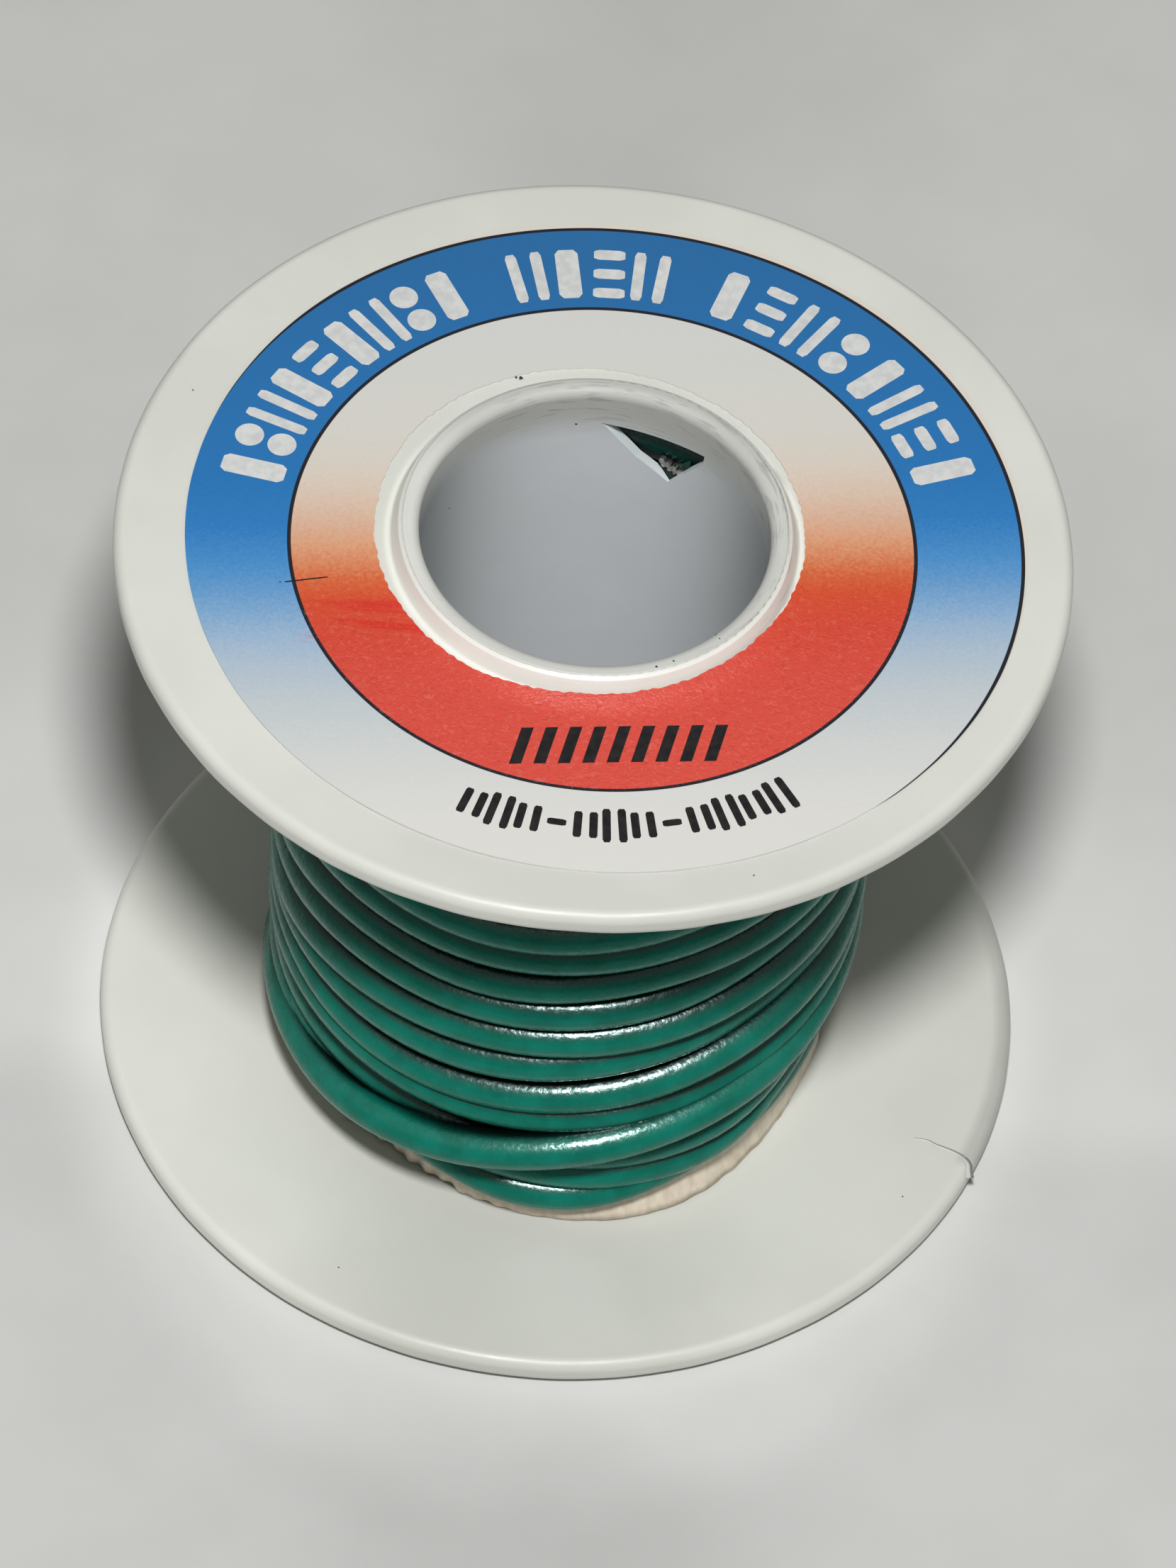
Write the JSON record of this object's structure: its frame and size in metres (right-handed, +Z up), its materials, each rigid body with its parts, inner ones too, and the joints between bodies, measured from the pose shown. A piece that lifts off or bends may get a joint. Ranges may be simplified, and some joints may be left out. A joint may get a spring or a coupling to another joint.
{
  "type": "wire spool",
  "caption": "Small plastic spool with two round flanges on a hollow tube, holding layers of green insulated hook-up wire, with a paper ring label on top.",
  "frame": {"origin": "centre of the spool's foot, on the surface it stands on", "axes": "+Z up along the spool's axis, label on top; -Y is the side a reader of the label stands on"},
  "size_m": [0.0508, 0.0508, 0.0424],
  "materials": {
    "spool_plastic": "satin, slightly translucent white",
    "label_paper": "satin printed paper, blue and red bands",
    "tape_paper": "cream crepe paper tape",
    "green_pvc": "semi-gloss green PVC",
    "tinned_strands": "bright tinned copper"
  },
  "bodies": {
    "root": {"core_tube": "spool_plastic", "top_flange": "spool_plastic", "bottom_flange": "spool_plastic", "paper_label": "label_paper", "paper_tape": "tape_paper", "wire_layer_inner": "green_pvc", "wire_layer_middle": "green_pvc", "wire_layer_outer": "green_pvc", "wire_loose_turns": "green_pvc", "wire_finish_tail": "green_pvc", "start_end_strands": "tinned_strands", "finish_end_strands": "tinned_strands"}
  },
  "joints": []
}
